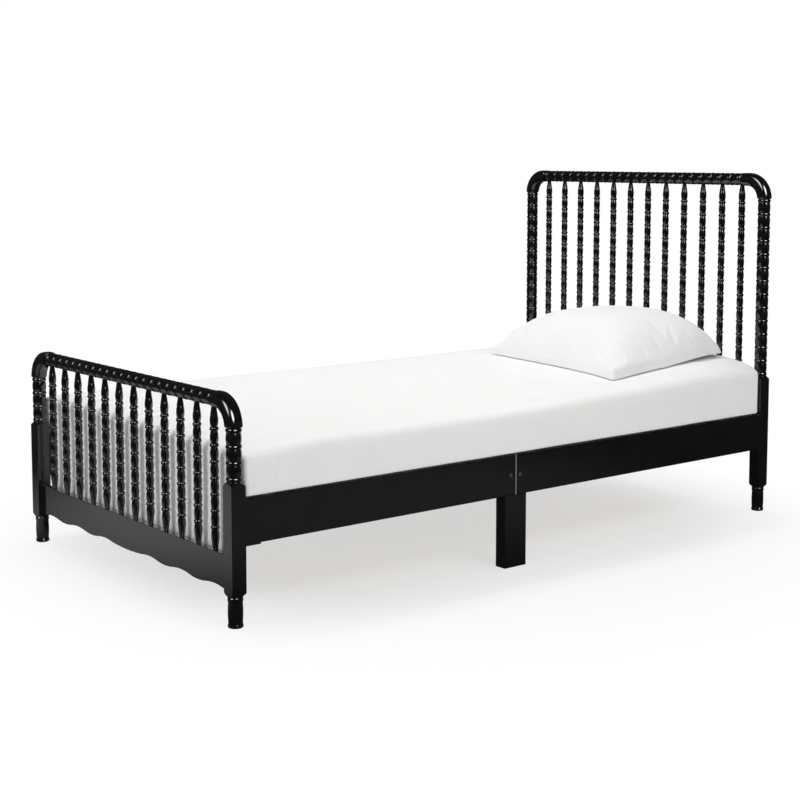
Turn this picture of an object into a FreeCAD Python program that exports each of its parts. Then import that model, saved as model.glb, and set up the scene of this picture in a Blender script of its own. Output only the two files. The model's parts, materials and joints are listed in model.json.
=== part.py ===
import FreeCAD, Part
import operator
import os
from types import SimpleNamespace

import Sketcher

# A spool bed for a single mattress. X runs across the bed, Y along it with
# the head at +Y, Z up, and the origin lies on the floor under its middle.
# Every size is in millimetres and stands in the sheet below.

SIZES = (
    ("post_span_x", 1045.0, "between post axes, across the bed"),
    ("post_span_y", 1946.0, "between post axes, along the bed"),
    ("stock", 40.0, "side of the square posts and elbows"),
    ("stock_round", 1.5, "rounding of the posts' corners"),
    ("fit_gap", 0.15, "clearance all round a tenon, pin or bolt"),
    ("end_gap", 1.0, "clearance at the bottom of a blind hole"),
    ("butt_gap", 0.2, "clearance where two lengths meet end to end"),
    ("overcut", 1.0, "how far a cutter reaches past a face"),
    # Turned foot under each post
    ("foot_height", 74.0, "floor to the block's shoulder"),
    ("foot_radius", 18.9, "base and ring of the foot"),
    ("foot_neck", 17.5, "radius of the foot's grooves"),
    ("foot_swell", 1.1, "how far the foot's barrel swells out of its grooves"),
    ("foot_base", 11.0, "height of the flared base"),
    ("foot_edge", 2.0, "chamfer at the floor"),
    ("foot_ring", 9.0, "height of the ring under the shoulder"),
    ("foot_flank", 2.0, "slope above and below that ring"),
    # Post blocks and turned lengths
    ("foot_block", 279.5, "block of a foot post, shoulder to shoulder"),
    ("head_block", 356.5, "block of a head post, shoulder to shoulder"),
    ("foot_turning", 128.0, "turned length of a foot post"),
    ("head_turning", 553.0, "turned length of a head post"),
    ("foot_post_spools", 3, "barrels on a foot post"),
    ("head_post_spools", 13, "barrels on a head post"),
    ("low_margin", 5.0, "block shoulder to the first ring's middle"),
    ("high_margin", 6.0, "last ring's middle to the elbow"),
    # Spool profile, shared by posts and top rails
    ("spool_radius", 19.6, "radius over the rings"),
    ("spool_ring", 10.0, "width of a ring, groove to groove"),
    ("spool_land", 2.4, "flat on top of a ring"),
    ("spool_groove", 2.1, "depth of the grooves beside a ring"),
    ("spool_round", 0.5, "how far a ring's flanks are rounded"),
    ("spool_swell", 1.7, "how far a barrel swells out of its grooves"),
    ("tenon_radius", 11.0, "round tenons into the elbows"),
    ("post_tenon", 20.0, "length of a post's tenon"),
    ("rail_tenon", 24.0, "length of a top rail's tenon"),
    # Elbows
    ("elbow_bend", 60.0, "bend radius on the middle line"),
    ("elbow_lead", 14.0, "straight length at the top rail"),
    ("elbow_round", 14.0, "corner radius of the section"),
    ("elbow_nose", 5.0, "rounding at the post end"),
    # Spindles
    ("spindle_count", 12, "spindles in each board"),
    ("spindle_end", 87.1, "post axis to the first spindle"),
    ("spindle_radius", 11.1, "radius over the rings"),
    ("spindle_ring", 10.0, "width of a ring, groove to groove"),
    ("spindle_land", 1.8, "flat on top of a ring"),
    ("spindle_groove", 2.5, "depth of the grooves beside a ring"),
    ("spindle_round", 0.65, "how far a ring's flanks are rounded"),
    ("spindle_swell", 2.0, "how far a barrel swells out of its grooves"),
    ("spindle_neck", 6.3, "radius at both ends"),
    ("spindle_taper", 32.0, "length of the tapered ends"),
    ("spindle_margin", 55.0, "end of the spindle to its first ring"),
    ("spindle_entry", 13.0, "length inside the top rail"),
    ("spindle_pin", 4.5, "radius of the lower tenon"),
    ("spindle_pin_length", 14.0, "length of the lower tenon"),
    ("foot_spindle_spools", 6, "barrels between rings, foot"),
    ("head_spindle_spools", 13, "barrels between rings, head"),
    # Flat cross rails
    ("board_thickness", 16.0, "apron and bottom rail"),
    ("apron_top", 171.0, "top edge of the apron over the floor"),
    ("apron_height", 84.0, "apron, top edge to the scallops' mid line"),
    ("scallop_end", 22.3, "straight length beside each post"),
    ("scallop_middle", 160.0, "width of the middle scallop"),
    ("scallop_arcs", 5, "notches and scallops on each side of it"),
    ("scallop_depth", 3.7, "scallops and notches off their mid line"),
    ("head_rail_top", 373.0, "top edge of the headboard's bottom rail"),
    ("head_rail_height", 100.0, "headboard's bottom rail"),
    ("board_tenon", 12.0, "tenon length of the cross rails"),
    ("board_tenon_thickness", 8.0, "tenon thickness of the cross rails"),
    ("board_shoulder", 14.0, "from a tenon to the board's edges"),
    ("board_ease", 1.0, "rounding of the boards' long edges"),
    # Side rails
    ("rail_bottom", 200.0, "lower edge of the side rails"),
    ("rail_height", 111.0, "side rails"),
    ("rail_thickness", 22.0, "side rails"),
    ("rail_inset", 2.0, "rail face behind the post face"),
    ("rail_ease", 1.5, "chamfer on the rails' long outer edges"),
    ("joint_y", -84.0, "joint of the rail lengths, from the middle"),
    # Support legs
    ("leg_width", 78.0, "along the rail"),
    ("leg_depth", 37.0, "across the rail"),
    ("leg_tongue", 96.0, "height of the leg's upper part"),
    ("leg_round", 2.0, "rounding of the leg's outer corners"),
    ("splice_spread", 34.0, "between the two splice bolts"),
    ("splice_z", 255.5, "splice bolts over the floor"),
    ("splice_shank", 3.0, "shank radius"),
    ("splice_head", 6.0, "head radius"),
    ("splice_head_height", 5.0, "head height"),
    ("splice_sink", 7.0, "depth of the recess for the head"),
    ("splice_recess", 6.8, "radius of that recess"),
    ("splice_socket", 2.6, "radius of the socket in the head"),
    ("splice_socket_depth", 2.5, "depth of that socket"),
    ("nut_radius", 5.0, "nut barrel, in the leg"),
    ("nut_length", 12.0, "nut barrel"),
    ("nut_flange", 8.0, "flange radius of the nut"),
    ("nut_flange_height", 1.5, "flange of the nut"),
    # Ledgers and slats
    ("ledger_width", 24.0, "across the bed"),
    ("ledger_height", 24.0, "upright"),
    ("slat_width", 60.0, "along the bed"),
    ("slat_thickness", 16.0, "slats"),
    ("slats_to_foot", 6, "slats between the leg and the foot"),
    ("slats_to_head", 7, "slats between the leg and the head"),
    ("slat_leg_gap", 2.0, "first slat to the leg"),
    ("slat_foot_gap", 14.8, "last slat to the foot bracket"),
    ("slat_head_gap", 40.8, "last slat to the head bracket"),
    ("slat_screw_in", 13.2, "slat screw to the side rail"),
    ("slat_side_gap", 2.0, "slat end to the side rail"),
    # Corner brackets
    ("bracket_length", 43.0, "along the rail"),
    ("bracket_height", 96.0, "upright"),
    ("bracket_plate", 3.0, "steel thickness"),
    ("bracket_flange", 12.5, "flange on the post"),
    ("bracket_bolt", 8.5, "bolt axis to the rail's inner face"),
    ("bracket_shelf", 4.0, "thickness of the shelf under the rail"),
    ("bracket_low_hole", 32.0, "lower holes over the rail's lower edge"),
    ("bracket_hole_spread", 48.0, "lower to upper holes"),
    # Bolts and screws
    ("bolt_shank", 3.0, "bracket bolt radius"),
    ("bolt_head", 5.0, "bracket bolt head radius"),
    ("bolt_head_height", 3.5, "bracket bolt head"),
    ("bolt_length", 28.0, "bracket bolt under its head"),
    ("screw_shank", 2.2, "wood screw radius"),
    ("screw_head", 4.2, "wood screw head radius"),
    ("screw_head_height", 2.4, "wood screw head, countersunk"),
    ("bracket_screw", 17.0, "length of a bracket screw"),
    ("ledger_screw", 38.0, "length of a ledger screw"),
    ("slat_screw", 30.0, "length of a slat screw"),
    ("ledger_screw_end", 60.0, "ledger end to its first screw"),
    ("ledger_screws_foot", 3, "screws in a ledger at the foot"),
    ("ledger_screws_head", 4, "screws in a ledger at the head"),
    # Bedding
    ("mattress_side_gap", 20.5, "mattress to the rails' inner faces"),
    ("mattress_end_gap", 4.0, "mattress to the posts' inner faces"),
    ("mattress_height", 200.0, "single mattress"),
    ("mattress_round", 20.0, "rounding of the mattress's long edges"),
    ("mattress_head_corner", 26.0, "corner radius in plan, at the head"),
    ("mattress_foot_corner", 80.0, "corner radius in plan, at the foot"),
    ("mattress_gap", 0.3, "mattress over the slats"),
    ("sheet_thickness", 1.2, "bed sheet"),
    ("sheet_gap", 0.3, "bed sheet off the mattress"),
    ("sheet_lift", 6.0, "hem over the mattress's underside"),
    ("sheet_drop", 150.0, "hem at the foot end, over the floor"),
    ("sheet_drop_inset", 60.0, "sides of that drop, in from the sheet's"),
    ("sheet_drop_lap", 30.0, "top of that drop over the hem of the sides"),
    ("pillow_width", 670.0, "across the bed, hem to hem"),
    ("pillow_length", 400.0, "along the bed, hem to hem"),
    ("pillow_crown", 158.0, "crown over the hem"),
    ("pillow_shoulder", 62.0, "crown's edge to its shoulder"),
    ("pillow_shoulder_rise", 0.74, "shoulder's height as a share of the crown's"),
    ("pillow_side_swell", 0.16, "swell of the sides as a share of the crown"),
    ("pillow_top_swell", 0.26, "swell of the top as a share of the crown"),
    ("pillow_fall", 2.4, "how late the crown falls off to its ends"),
    ("pillow_fullness", 0.7, "how full the crown stays as it falls off"),
    ("pillow_draw", 14.0, "how far the sides are drawn in"),
    ("pillow_hem", 34.0, "flat hem round the pillow"),
    ("pillow_hem_thickness", 6.0, "flat hem"),
    ("pillow_edge", 2.0, "crown's height at its ends"),
    ("pillow_turn", -8.0, "pillow's turn about the upright, in degrees"),
    ("pillow_x", 50.0, "pillow's middle across the bed"),
    ("pillow_head", 248.0, "pillow's middle to the posts' inner faces"),
    ("pillow_gap", 0.4, "pillow over the sheet"),
)

V = FreeCAD.Vector
doc = FreeCAD.newDocument("SpoolBed")
sheet = doc.addObject("Spreadsheet::Sheet", "Sizes")
for row, (alias, number, note) in enumerate(SIZES, 1):
    sheet.set(f"A{row}", note)
    sheet.set(f"B{row}", str(number))
    sheet.setAlias(f"B{row}", alias)
doc.recompute()


class Size:
    """A size of the sheet, or several joined: its value and its expression."""

    def __init__(self, value, text):
        self.value, self.text = value, text

    def __add__(self, other):
        return join(self, "+", other)

    def __radd__(self, other):
        return join(other, "+", self)

    def __sub__(self, other):
        return join(self, "-", other)

    def __rsub__(self, other):
        return join(other, "-", self)

    def __mul__(self, other):
        return join(self, "*", other)

    def __rmul__(self, other):
        return join(other, "*", self)

    def __truediv__(self, other):
        return join(self, "/", other)

    def __pow__(self, other):
        return join(self, "^", other)

    def __rpow__(self, other):
        return join(other, "^", self)

    def __neg__(self):
        return join(0, "-", self)


SIGNS = {
    "+": operator.add,
    "-": operator.sub,
    "*": operator.mul,
    "/": operator.truediv,
    "^": operator.pow,
}


def sized(item):
    return item if isinstance(item, Size) else Size(item, f"({item})")


def join(left, sign, right):
    left, right = sized(left), sized(right)
    value = SIGNS[sign](left.value, right.value)
    return Size(value, f"({left.text} {sign} {right.text})")


def bind(thing, path, item):
    """Sets a property from a size, so that it follows the sheet."""
    thing.setExpression(path, sized(item).text)


s = SimpleNamespace(**{alias: Size(sheet.get(alias), f"Sizes.{alias}") for alias, _, _ in SIZES})


def body(label, x=0, y=0, z=0):
    """An empty body that stands at x, y, z."""
    made = doc.addObject("PartDesign::Body", label)
    made.Label = label
    for axis, item in zip("xyz", (x, y, z)):
        bind(made, f"Placement.Base.{axis}", item)
    return made


def copy(original, label, x, y, z):
    """The same piece once more, at x, y, z."""
    made = doc.addObject("App::Link", label)
    made.LinkedObject = original
    made.Label = label
    for axis, item in zip("xyz", (x, y, z)):
        bind(made, f"Placement.Base.{axis}", item)
    return made


def origin(owner, role):
    return next(item for item in owner.Origin.OriginFeatures if item.Role == role)


def sketch(owner, plane, lift=0):
    """An empty sketch on one of the body's own planes, lifted along its normal."""
    made = owner.newObject("Sketcher::SketchObject", f"{owner.Name}_sketch")
    made.AttachmentSupport = [(origin(owner, plane), "")]
    made.MapMode = "FlatFace"
    if isinstance(lift, Size):
        bind(made, "AttachmentOffset.Base.z", lift)
    return made


def hold(drawn, geometry, point, x, y):
    """Fixes a point of a sketch at x, y from the sketch's origin."""
    for kind, item, axis in (("DistanceX", x, -2), ("DistanceY", y, -1)):
        if not isinstance(item, Size) and item == 0:
            drawn.addConstraint(Sketcher.Constraint("PointOnObject", geometry, point, axis))
            continue
        rule = Sketcher.Constraint(kind, -1, 1, geometry, point, sized(item).value)
        bind(drawn, f"Constraints[{drawn.addConstraint(rule)}]", item)


def outline(drawn, corners):
    """A closed outline through corners (x, y) or (x, y, swell). The edge that
    leaves a corner is straight, or an arc that swells to the right of its way."""
    first = drawn.GeometryCount
    ends = []
    for here, there in zip(corners, corners[1:] + corners[:1]):
        ax, ay, bx, by = (sized(item).value for item in (*here[:2], *there[:2]))
        a, b = V(ax, ay, 0), V(bx, by, 0)
        if len(here) == 2:
            drawn.addGeometry(Part.LineSegment(a, b))
            ends.append((1, 2))
            continue
        swell = sized(here[2]).value
        chord = b - a
        right = V(chord.y, -chord.x, 0).normalize()
        crown = (a + b) / 2 + right * swell
        arc = Part.Arc(a, crown, b) if swell > 0 else Part.Arc(b, crown, a)
        drawn.addGeometry(arc)
        ends.append((1, 2) if swell > 0 else (2, 1))
    count = len(corners)
    for n, here in enumerate(corners):
        after = (n + 1) % count
        drawn.addConstraint(
            Sketcher.Constraint("Coincident", first + n, ends[n][1], first + after, ends[after][0])
        )
        hold(drawn, first + n, ends[n][0], here[0], here[1])
    for n, here in enumerate(corners):
        if len(here) == 3:
            there = corners[(n + 1) % count]
            dx, dy = there[0] - sized(here[0]), there[1] - sized(here[1])
            swell = sized(here[2]) * (1 if sized(here[2]).value > 0 else -1)
            radius = (dx * dx + dy * dy) / (8 * swell) + swell / 2
            rule = Sketcher.Constraint("Radius", first + n, radius.value)
            bind(drawn, f"Constraints[{drawn.addConstraint(rule)}]", radius)
    return drawn


def box(drawn, x0, y0, x1, y1):
    return outline(drawn, [(x0, y0), (x1, y0), (x1, y1), (x0, y1)])


def rounded_box(drawn, x0, y0, x1, y1, near, far=None):
    """A rectangle whose corners are quarter circles, of radius near at y0 and far at y1."""
    far = far or near
    near_swell, far_swell = (radius * (1 - 0.5**0.5) for radius in (near, far))
    return outline(
        drawn,
        [
            (x0 + near, y0),
            (x1 - near, y0, near_swell),
            (x1, y0 + near),
            (x1, y1 - far, far_swell),
            (x1 - far, y1),
            (x0 + far, y1, far_swell),
            (x0, y1 - far),
            (x0, y0 + near, near_swell),
        ],
    )


def circle(drawn, x, y, radius):
    n = drawn.addGeometry(Part.Circle(V(sized(x).value, sized(y).value, 0), V(0, 0, 1), radius.value))
    hold(drawn, n, 3, x, y)
    rule = Sketcher.Constraint("Radius", n, radius.value)
    bind(drawn, f"Constraints[{drawn.addConstraint(rule)}]", radius)
    return drawn


def feature(owner, kind, profile, name):
    made = owner.newObject(f"PartDesign::{kind}", f"{owner.Name}_{name}")
    made.Profile = profile
    return made


def pad(owner, profile, length, name="pad", back=False):
    """Raises a profile along its normal, or against it."""
    made = feature(owner, "Pad", profile, name)
    bind(made, "Length", length)
    made.Reversed = back
    return made


def pocket(owner, profile, depth, name="pocket", back=True):
    """Cuts a profile against its normal, or along it."""
    made = feature(owner, "Pocket", profile, name)
    bind(made, "Length", depth)
    made.Reversed = not back
    return made


def turn(owner, profile, axis="V_Axis", kind="Revolution", name="turning"):
    made = feature(owner, kind, profile, name)
    made.ReferenceAxis = (profile, [axis])
    made.Angle = 360
    return made


def row_of(owner, originals, drawn, axis, length, count, name="row", back=False):
    """Repeats features, or with none all of the body so far, along an axis of
    a sketch: count times in all, over length."""
    made = owner.newObject("PartDesign::LinearPattern", f"{owner.Name}_{name}")
    if originals:
        made.Originals = originals
    else:
        made.TransformMode = "Whole shape"
    made.Direction = (drawn, [axis])
    made.Reversed = back
    bind(made, "Length", length)
    bind(made, "Occurrences", count)
    owner.Tip = made
    return made


def mirror(owner, plane, name="mirror"):
    """Doubles all of a body's solids across one of its own planes."""
    made = owner.newObject("PartDesign::Mirrored", f"{owner.Name}_{name}")
    made.TransformMode = "Whole shape"
    made.MirrorPlane = (origin(owner, plane), [""])
    owner.Tip = made
    return made


SIDES = {"right": 1, "left": -1}
ENDS = ("head", "foot")

# Places that several pieces share.
post_x, post_y = s.post_span_x / 2, s.post_span_y / 2
half = s.stock / 2
elbow_z = {
    "foot": s.foot_height + s.foot_block + s.foot_turning,
    "head": s.foot_height + s.head_block + s.head_turning,
}
top_z = {end: z + s.elbow_bend for end, z in elbow_z.items()}
rail_outer = post_x + half - s.rail_inset
rail_inner = rail_outer - s.rail_thickness
rail_end = post_y - half - s.butt_gap
spindle_pitch = (s.post_span_x - 2 * s.spindle_end) / (s.spindle_count - 1)
first_spindle = s.spindle_end - post_x
board_length = s.post_span_x - s.stock - 2 * s.butt_gap
ledger_top = s.rail_bottom + s.ledger_height
slat_top = ledger_top + s.slat_thickness
board_top = {"foot": s.apron_top, "head": s.head_rail_top}
board_low = {"foot": s.apron_top - s.apron_height, "head": s.head_rail_top - s.head_rail_height}
ledger_mid = s.rail_bottom + s.ledger_height / 2
leg_side = {"foot": s.joint_y - s.leg_width / 2, "head": s.joint_y + s.leg_width / 2}
slat_screw_x = rail_inner - s.slat_screw_in
mattress_wide = rail_inner - s.mattress_side_gap
mattress_long = post_y - half - s.mattress_end_gap
mattress_z = slat_top + s.mattress_gap
sheet_off = s.sheet_gap + s.sheet_thickness
sheet_top = mattress_z + s.mattress_height + sheet_off
bolt_z = s.rail_bottom + s.bracket_low_hole
bolt_x = rail_inner - s.bracket_bolt
bracket_end = rail_end - s.bracket_length
screw_y = rail_end - s.bracket_plate - (s.bracket_length - s.bracket_plate) / 2


POST_SPOOL = SimpleNamespace(
    radius=s.spool_radius,
    ring=s.spool_ring,
    land=s.spool_land,
    groove=s.spool_groove,
    flank=s.spool_round,
    swell=s.spool_swell,
)
SPINDLE_SPOOL = SimpleNamespace(
    radius=s.spindle_radius,
    ring=s.spindle_ring,
    land=s.spindle_land,
    groove=s.spindle_groove,
    flank=s.spindle_round,
    swell=s.spindle_swell,
)


def turn_spools(owner, spool, start, pitch, count, axis):
    """Turns spools out of a round bar. One cut runs from one ring's middle to
    the next: half a ring, a groove, a swelling barrel, a groove, half a ring."""
    out, low = spool.radius + s.overcut, spool.radius - spool.groove
    top_in, foot_in = start + spool.land / 2, start + spool.ring / 2
    foot_out, top_out = start + pitch - spool.ring / 2, start + pitch - spool.land / 2
    corners = [
        (out, top_in),
        (spool.radius, top_in, spool.flank),
        (low, foot_in, spool.swell),
        (low, foot_out, spool.flank),
        (spool.radius, top_out),
        (out, top_out),
    ]
    if axis == "H_Axis":
        corners = [(y, x, *(-swell for swell in swells)) for x, y, *swells in corners]
    drawn = outline(sketch(owner, "XZ_Plane"), corners)
    cut = turn(owner, drawn, axis, "Groove", "spool")
    row_of(owner, [cut], drawn, axis, pitch * (count - 1), count, "spools")


def post(label, end, side):
    """A post turned from square stock: foot, block and spools, with a round
    tenon for the elbow and a mortise for the board between the posts."""
    y = post_y if end == "head" else -post_y
    block = s.head_block if end == "head" else s.foot_block
    turning = s.head_turning if end == "head" else s.foot_turning
    spools = s.head_post_spools if end == "head" else s.foot_post_spools
    made = body(label, side * post_x, y)
    square = rounded_box(sketch(made, "XY_Plane"), -half, -half, half, half, s.stock_round)
    top = elbow_z[end]
    pad(made, square, top + s.post_tenon, "stock")

    out = s.stock
    shoulder = s.foot_height + block
    low = s.spool_radius - s.spool_groove
    tip = top + s.post_tenon + s.overcut
    upper = outline(
        sketch(made, "XZ_Plane"),
        [
            (low, shoulder, s.spool_round),
            (s.spool_radius, shoulder + s.low_margin - s.spool_land / 2),
            (s.spool_radius, top),
            (s.tenon_radius, top),
            (s.tenon_radius, tip),
            (out, tip),
            (out, shoulder - (out - low)),
        ],
    )
    turn(made, upper, kind="Groove", name="upper")

    ring_low = s.foot_height - s.foot_ring
    foot = outline(
        sketch(made, "XZ_Plane"),
        [
            (s.foot_radius - s.foot_edge, -s.overcut),
            (s.foot_radius - s.foot_edge, 0),
            (s.foot_radius, s.foot_edge),
            (s.foot_radius, s.foot_base / 2),
            (s.foot_neck, s.foot_base, s.foot_swell),
            (s.foot_neck, ring_low - s.foot_flank),
            (s.foot_radius, ring_low),
            (s.foot_radius, s.foot_height - s.foot_flank),
            (s.foot_neck, s.foot_height),
            (out, s.foot_height + out - s.foot_neck),
            (out, -s.overcut),
        ],
    )
    turn(made, foot, kind="Groove", name="foot")

    pitch = (turning - s.low_margin - s.high_margin) / spools
    turn_spools(made, POST_SPOOL, shoulder + s.low_margin, pitch, spools + 1, "V_Axis")

    gap = s.fit_gap
    thick = s.board_tenon_thickness / 2 + gap
    mortise = box(
        sketch(made, "YZ_Plane", -side * half),
        -thick,
        board_low[end] + s.board_shoulder - gap,
        thick,
        board_top[end] - s.board_shoulder + gap,
    )
    pocket(made, mortise, s.board_tenon + s.end_gap, "mortise", back=side < 0)

    inward = -1 if end == "head" else 1
    holes = sketch(made, "XZ_Plane", -inward * half)
    for up in (0, 1):
        circle(
            holes,
            side * (bolt_x - post_x),
            bolt_z + up * s.bracket_hole_spread,
            s.bolt_shank + gap,
        )
    depth = s.bolt_length - s.bracket_plate - s.butt_gap + s.end_gap
    pocket(made, holes, depth, "bolt_holes", back=inward < 0)
    return made


def elbow(label, end, side):
    """A corner piece: rounded square section, bent from the post to the rail."""
    y = post_y if end == "head" else -post_y
    made = body(label, side * post_x, y, elbow_z[end])
    section = rounded_box(sketch(made, "XY_Plane"), -half, -half, half, half, s.elbow_round)
    way = sketch(made, "XZ_Plane")
    bend = s.elbow_bend
    reach = 0.5**0.5 * bend.value
    across = -side * bend
    start, middle = V(), V(-side * (bend.value - reach), reach, 0)
    stop = V(across.value, bend.value, 0)
    way.addGeometry(Part.Arc(start, middle, stop) if side > 0 else Part.Arc(stop, middle, start))
    lead = across - side * s.elbow_lead
    way.addGeometry(Part.LineSegment(stop, V(lead.value, bend.value, 0)))
    near, far = (1, 2) if side > 0 else (2, 1)
    way.addConstraint(Sketcher.Constraint("Coincident", 0, near, -1, 1))
    way.addConstraint(Sketcher.Constraint("Coincident", 0, far, 1, 1))
    hold(way, 1, 1, across, bend)
    hold(way, 1, 2, lead, bend)
    rule = Sketcher.Constraint("Radius", 0, bend.value)
    bind(way, f"Constraints[{way.addConstraint(rule)}]", bend)
    swept = feature(made, "AdditivePipe", section, "bend")
    swept.Spine = (way, [])
    doc.recompute()

    nose = made.newObject("PartDesign::Fillet", f"{label}_nose")
    nose.Base = (swept, edges_at(swept.Shape, 0))
    bind(nose, "Radius", s.elbow_nose)

    bore = s.tenon_radius + s.fit_gap
    seat = circle(sketch(made, "XY_Plane"), 0, 0, bore)
    pocket(made, seat, s.post_tenon + s.end_gap, "post_socket", back=False)
    seat = circle(sketch(made, "YZ_Plane", lead), 0, bend, bore)
    pocket(made, seat, s.rail_tenon + s.end_gap, "rail_socket", back=side < 0)
    return made


def top_rail(label, end):
    """A round bar of spools, with a tenon at each end and spindle holes below."""
    y = post_y if end == "head" else -post_y
    made = body(label, 0, y, top_z[end])
    length = s.post_span_x - 2 * (s.elbow_bend + s.elbow_lead + s.butt_gap)
    stop, tip = length / 2, length / 2 + s.rail_tenon
    bar = outline(
        sketch(made, "XZ_Plane"),
        [
            (-tip, 0),
            (tip, 0),
            (tip, s.tenon_radius),
            (stop, s.tenon_radius),
            (stop, s.spool_radius),
            (-stop, s.spool_radius),
            (-stop, s.tenon_radius),
            (-tip, s.tenon_radius),
        ],
    )
    turn(made, bar, "H_Axis")
    pitch = spindle_pitch / 2
    spools = 2 * (s.spindle_count - 1)
    start = -pitch * spools / 2 - pitch
    turn_spools(made, POST_SPOOL, start, pitch, spools + 2, "H_Axis")

    under = sketch(made, "XY_Plane", -s.spool_radius - s.overcut)
    hole = circle(under, first_spindle, 0, s.spindle_neck + s.fit_gap)
    depth = s.overcut + s.spindle_entry + s.end_gap
    bored = pocket(made, hole, depth, "spindle_hole", back=False)
    row_of(made, [bored], hole, "H_Axis", -2 * first_spindle, s.spindle_count, "spindle_holes")
    return made


def spindle(label, end):
    """A turned spindle: lower pin, tapered neck, spools, tapered neck."""
    spools = s.head_spindle_spools if end == "head" else s.foot_spindle_spools
    y = post_y if end == "head" else -post_y
    made = body(label, first_spindle, y, board_top[end])
    top = top_z[end] - s.spool_radius - board_top[end]
    bar = outline(
        sketch(made, "XZ_Plane"),
        [
            (0, -s.spindle_pin_length),
            (s.spindle_pin, -s.spindle_pin_length),
            (s.spindle_pin, 0),
            (s.spindle_neck, 0),
            (s.spindle_radius, s.spindle_taper),
            (s.spindle_radius, top - s.spindle_taper),
            (s.spindle_neck, top),
            (s.spindle_neck, top + s.spindle_entry),
            (0, top + s.spindle_entry),
        ],
    )
    turn(made, bar)
    pitch = (top - 2 * s.spindle_margin) / spools
    turn_spools(made, SPINDLE_SPOOL, s.spindle_margin - pitch, pitch, spools + 2, "V_Axis")
    return made


def board_holes(made, end):
    """A row of holes for the spindles' lower pins, in a board's top edge."""
    edge = sketch(made, "XY_Plane", board_top[end])
    hole = circle(edge, first_spindle, 0, s.spindle_pin + s.fit_gap)
    bored = pocket(made, hole, s.spindle_pin_length + s.end_gap, "pin_hole")
    row_of(made, [bored], hole, "H_Axis", -2 * first_spindle, s.spindle_count, "pin_holes")


def long_edges(shape, y, x):
    """Names of a board's edges on its two faces at y and -y, without those of its ends at x and -x."""
    names = []
    for n, edge in enumerate(shape.Edges, 1):
        reach = edge.BoundBox
        on_face = abs(abs(reach.YMin) - y) + abs(reach.YMax - reach.YMin) < 0.001
        if on_face and not abs(abs(reach.XMin) - x) + abs(reach.XMax - reach.XMin) < 0.001:
            names.append(f"Edge{n}")
    return names


def board(label, end, lower_edge):
    """A flat board between two posts, tenoned at both ends."""
    y = post_y if end == "head" else -post_y
    made = body(label, 0, y)
    stop, thick = board_length / 2, s.board_thickness / 2
    face = outline(
        sketch(made, "XZ_Plane", -thick),
        [
            (-stop, board_low[end]),
            *lower_edge,
            (stop, board_low[end]),
            (stop, board_top[end]),
            (-stop, board_top[end]),
        ],
    )
    plank = pad(made, face, s.board_thickness, "board")
    doc.recompute()
    ease = made.newObject("PartDesign::Fillet", f"{label}_ease")
    ease.Base = (plank, long_edges(plank.Shape, thick.value, stop.value))
    bind(ease, "Radius", s.board_ease)
    tip, thick = stop + s.board_tenon, s.board_tenon_thickness / 2
    low, high = board_low[end] + s.board_shoulder, board_top[end] - s.board_shoulder
    tenon = box(sketch(made, "XZ_Plane", -thick), -tip, low, tip, high)
    pad(made, tenon, s.board_tenon_thickness, "tenons")
    board_holes(made, end)
    return made


def scallops():
    """Corners of the apron's lower edge: a wide scallop in the middle, and on
    each side notches and scallops in turn, every one an arc."""
    low, depth, count = board_low["foot"], s.scallop_depth, int(s.scallop_arcs.value)
    step = (board_length / 2 - s.scallop_end - s.scallop_middle / 2) / s.scallop_arcs
    edges = [s.scallop_middle / 2 + n * step for n in range(count + 1)]
    swells = [depth * (-1 if n % 2 == 0 else 1) for n in range(count)]
    left = [(-edges[n + 1], low, swells[n]) for n in reversed(range(count))]
    middle = [(-edges[0], low, depth)]
    right = [(edges[n], low, swells[n]) for n in range(count)]
    return [*left, *middle, *right, (edges[count], low)]


def side_rail(label, end, side):
    """One length of a side rail, with its recess and hole for a splice bolt."""
    made = body(label)
    joint = s.joint_y + s.butt_gap / 2 if end == "head" else s.joint_y - s.butt_gap / 2
    stop = rail_end if end == "head" else -rail_end
    inner, outer = side * rail_inner, side * rail_outer
    low, high, ease = s.rail_bottom, s.rail_bottom + s.rail_height, s.rail_ease
    lift = -joint if end == "head" else -stop
    profile = outline(
        sketch(made, "XZ_Plane", lift),
        [
            (inner, low),
            (outer - side * ease, low),
            (outer, low + ease),
            (outer, high - ease),
            (outer - side * ease, high),
            (inner, high),
        ],
    )
    long = stop - joint if end == "head" else joint - stop
    pad(made, profile, long, "rail", back=True)

    spread = s.splice_spread / 2
    y = s.joint_y + spread if end == "head" else s.joint_y - spread
    recess = circle(sketch(made, "YZ_Plane", outer), y, s.splice_z, s.splice_recess)
    pocket(made, recess, s.splice_sink, "recess", back=side > 0)
    hole = circle(sketch(made, "YZ_Plane", outer), y, s.splice_z, s.splice_shank + s.fit_gap)
    pocket(made, hole, s.rail_thickness + s.overcut, "bolt_hole", back=side > 0)

    screws = sketch(made, "YZ_Plane", inner)
    away = 1 if end == "head" else -1
    for up in (0, 1):
        z = bolt_z + up * s.bracket_hole_spread
        circle(screws, away * screw_y, z, s.screw_shank + s.fit_gap)
    depth = s.bracket_screw - s.bracket_plate + s.end_gap
    pocket(made, screws, depth, "bracket_holes", back=side < 0)

    first, step, count = ledger_screw_row(end)
    pilot = circle(
        sketch(made, "YZ_Plane", inner), first, ledger_mid, s.screw_shank + s.fit_gap
    )
    depth = s.ledger_screw - s.ledger_width + s.end_gap
    bored = pocket(made, pilot, depth, "ledger_hole", back=side < 0)
    row_of(made, [bored], pilot, "H_Axis", step * (count - 1), count, "ledger_holes")
    return made


def ledger_ends(end):
    """Where a ledger starts and stops along the bed, clear of leg and bracket."""
    if end == "head":
        return leg_side[end] + s.butt_gap, bracket_end - s.butt_gap
    return s.butt_gap - bracket_end, leg_side[end] - s.butt_gap


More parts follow.
